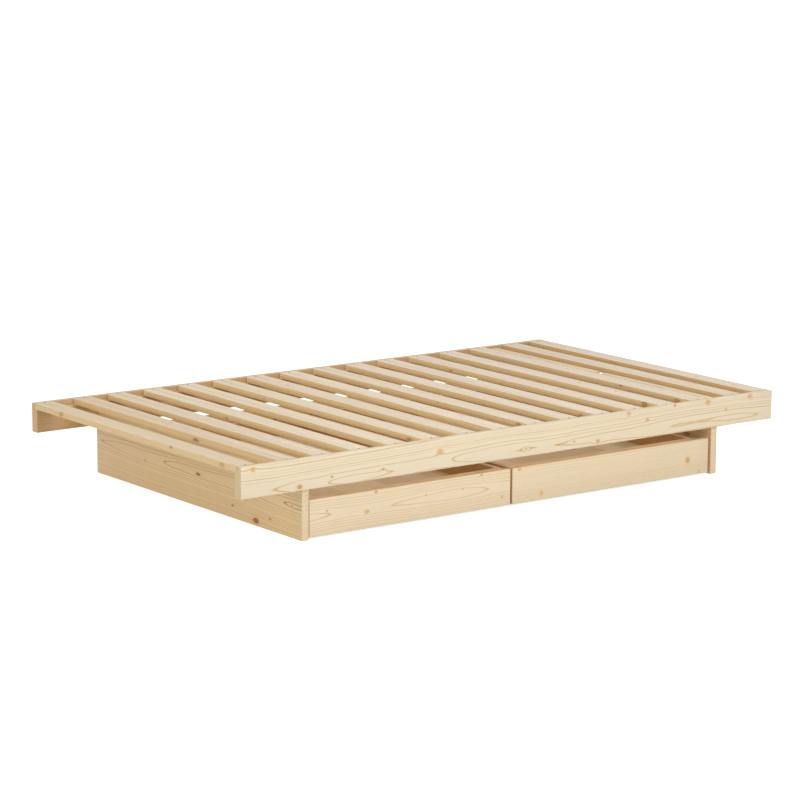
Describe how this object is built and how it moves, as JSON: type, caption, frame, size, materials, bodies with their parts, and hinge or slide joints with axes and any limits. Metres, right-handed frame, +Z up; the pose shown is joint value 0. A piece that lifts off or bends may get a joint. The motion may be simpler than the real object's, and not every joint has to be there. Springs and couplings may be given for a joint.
{
  "type": "platform bed with drawers",
  "caption": "Low platform bed of plain pine: a slatted deck screwed into two rebated side rails, carried on inset end panels, with rolling drawers side by side beneath it.",
  "frame": {"origin": "middle of the bed's footprint, on the ground", "axes": "+X along the bed from left to right as seen from the drawers' side, +Y away from the drawers' side, +Z up"},
  "size_m": [2.1, 1.214, 0.255],
  "materials": {
    "pine_rail": "planed, untreated pine, knots, cathedral grain",
    "pine_slat": "planed, untreated pine, pale and dry",
    "pine_panel": "planed, untreated pine, edge-glued staves",
    "pine_back": "planed, untreated pine",
    "pine_front": "planed, untreated pine, fine grain and knots",
    "pine_box": "planed, untreated pine",
    "pine_floor": "edge-glued pine staves, untreated",
    "dowel_wood": "smooth hardwood dowel",
    "screw_steel": "zinc-plated steel, dull",
    "bracket_steel": "pressed zinc-plated sheet",
    "axle_steel": "bright steel pin",
    "wheel_plastic": "moulded matt plastic"
  },
  "bodies": {
    "frame": {"rail_near": "pine_rail", "rail_far": "pine_rail", "slat_01": "pine_slat", "slat_02": "pine_slat", "slat_03": "pine_slat", "slat_04": "pine_slat", "slat_05": "pine_slat", "slat_06": "pine_slat", "slat_07": "pine_slat", "slat_08": "pine_slat", "slat_09": "pine_slat", "slat_10": "pine_slat", "slat_11": "pine_slat", "slat_12": "pine_slat", "slat_13": "pine_slat", "slat_14": "pine_slat", "slat_15": "pine_slat", "slat_16": "pine_slat", "end_panel_left": "pine_panel", "end_panel_right": "pine_panel", "back_panel": "pine_back", "slat_screws": "screw_steel", "rail_dowels": "dowel_wood", "back_dowels": "dowel_wood"},
    "drawer_left": {"drawer_left_front": "pine_front", "drawer_left_box_front": "pine_box", "drawer_left_side_left": "pine_box", "drawer_left_side_right": "pine_box", "drawer_left_back": "pine_box", "drawer_left_floor": "pine_floor", "drawer_left_front_screws": "screw_steel", "drawer_left_corner_screws": "screw_steel", "drawer_left_brackets": "bracket_steel", "drawer_left_bracket_screws": "screw_steel", "drawer_left_axles": "axle_steel"},
    "drawer_right": {"drawer_right_front": "pine_front", "drawer_right_box_front": "pine_box", "drawer_right_side_left": "pine_box", "drawer_right_side_right": "pine_box", "drawer_right_back": "pine_box", "drawer_right_floor": "pine_floor", "drawer_right_front_screws": "screw_steel", "drawer_right_corner_screws": "screw_steel", "drawer_right_brackets": "bracket_steel", "drawer_right_bracket_screws": "screw_steel", "drawer_right_axles": "axle_steel"},
    "wheel_left_drawer_front_left": {"wheel_left_drawer_front_left": "wheel_plastic"},
    "wheel_left_drawer_front_right": {"wheel_left_drawer_front_right": "wheel_plastic"},
    "wheel_left_drawer_rear_left": {"wheel_left_drawer_rear_left": "wheel_plastic"},
    "wheel_left_drawer_rear_right": {"wheel_left_drawer_rear_right": "wheel_plastic"},
    "wheel_right_drawer_front_left": {"wheel_right_drawer_front_left": "wheel_plastic"},
    "wheel_right_drawer_front_right": {"wheel_right_drawer_front_right": "wheel_plastic"},
    "wheel_right_drawer_rear_left": {"wheel_right_drawer_rear_left": "wheel_plastic"},
    "wheel_right_drawer_rear_right": {"wheel_right_drawer_rear_right": "wheel_plastic"}
  },
  "joints": [
    {"name": "drawer_left_slide", "type": "slide", "parent": "frame", "child": "drawer_left", "axis": [0, -1, 0], "range_m": [0, 0.9]},
    {"name": "drawer_right_slide", "type": "slide", "parent": "frame", "child": "drawer_right", "axis": [0, -1, 0], "range_m": [0, 0.9]},
    {"name": "left_drawer_front_left_wheel_spin", "type": "hinge", "parent": "drawer_left", "child": "wheel_left_drawer_front_left", "pos_m": [-0.7307, -0.458, 0.02], "axis": [1, 0, 0], "continuous": true},
    {"name": "left_drawer_front_right_wheel_spin", "type": "hinge", "parent": "drawer_left", "child": "wheel_left_drawer_front_right", "pos_m": [-0.1102, -0.458, 0.02], "axis": [1, 0, 0], "continuous": true},
    {"name": "left_drawer_rear_left_wheel_spin", "type": "hinge", "parent": "drawer_left", "child": "wheel_left_drawer_rear_left", "pos_m": [-0.7307, 0.4097, 0.02], "axis": [1, 0, 0], "continuous": true},
    {"name": "left_drawer_rear_right_wheel_spin", "type": "hinge", "parent": "drawer_left", "child": "wheel_left_drawer_rear_right", "pos_m": [-0.1102, 0.4097, 0.02], "axis": [1, 0, 0], "continuous": true},
    {"name": "right_drawer_front_left_wheel_spin", "type": "hinge", "parent": "drawer_right", "child": "wheel_right_drawer_front_left", "pos_m": [0.0353, -0.458, 0.02], "axis": [1, 0, 0], "continuous": true},
    {"name": "right_drawer_front_right_wheel_spin", "type": "hinge", "parent": "drawer_right", "child": "wheel_right_drawer_front_right", "pos_m": [0.6837, -0.458, 0.02], "axis": [1, 0, 0], "continuous": true},
    {"name": "right_drawer_rear_left_wheel_spin", "type": "hinge", "parent": "drawer_right", "child": "wheel_right_drawer_rear_left", "pos_m": [0.0353, 0.4097, 0.02], "axis": [1, 0, 0], "continuous": true},
    {"name": "right_drawer_rear_right_wheel_spin", "type": "hinge", "parent": "drawer_right", "child": "wheel_right_drawer_rear_right", "pos_m": [0.6837, 0.4097, 0.02], "axis": [1, 0, 0], "continuous": true}
  ],
  "couplings": [
    {"joint": "left_drawer_front_left_wheel_spin", "follows": "drawer_left_slide", "rad_per_m": 50},
    {"joint": "left_drawer_front_right_wheel_spin", "follows": "drawer_left_slide", "rad_per_m": 50},
    {"joint": "left_drawer_rear_left_wheel_spin", "follows": "drawer_left_slide", "rad_per_m": 50},
    {"joint": "left_drawer_rear_right_wheel_spin", "follows": "drawer_left_slide", "rad_per_m": 50},
    {"joint": "right_drawer_front_left_wheel_spin", "follows": "drawer_right_slide", "rad_per_m": 50},
    {"joint": "right_drawer_front_right_wheel_spin", "follows": "drawer_right_slide", "rad_per_m": 50},
    {"joint": "right_drawer_rear_left_wheel_spin", "follows": "drawer_right_slide", "rad_per_m": 50},
    {"joint": "right_drawer_rear_right_wheel_spin", "follows": "drawer_right_slide", "rad_per_m": 50}
  ]
}
